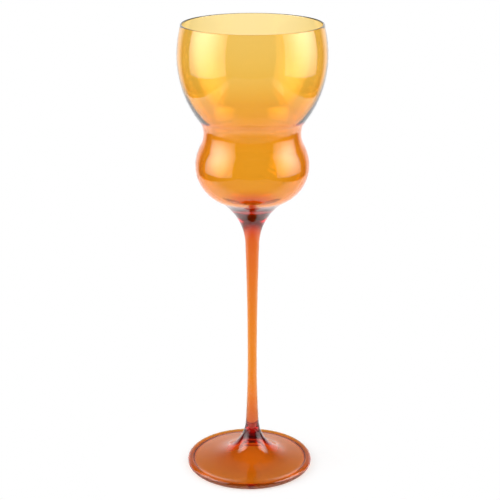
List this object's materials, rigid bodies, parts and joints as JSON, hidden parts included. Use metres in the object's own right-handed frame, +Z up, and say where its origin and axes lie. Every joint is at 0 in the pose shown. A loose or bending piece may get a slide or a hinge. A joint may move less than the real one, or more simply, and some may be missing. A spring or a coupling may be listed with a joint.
{
  "type": "hyacinth forcing vase",
  "caption": "Tall stemmed amber glass vase with a waisted bowl that holds a flower bulb over a root chamber, on a slim solid stem and a round foot.",
  "frame": {"origin": "on the table plane, under the axis that the bowl and stem share", "axes": "+Z up along the bowl's and stem's axis; +X to the right seen from the front (-Y); the hand-made foot's own axis stands 1.7 mm to -X"},
  "size_m": [0.0852, 0.0852, 0.27],
  "materials": {
    "amber_glass": "polished"
  },
  "bodies": {
    "root": {"bowl": "amber_glass", "stem": "amber_glass", "foot": "amber_glass"}
  },
  "joints": []
}
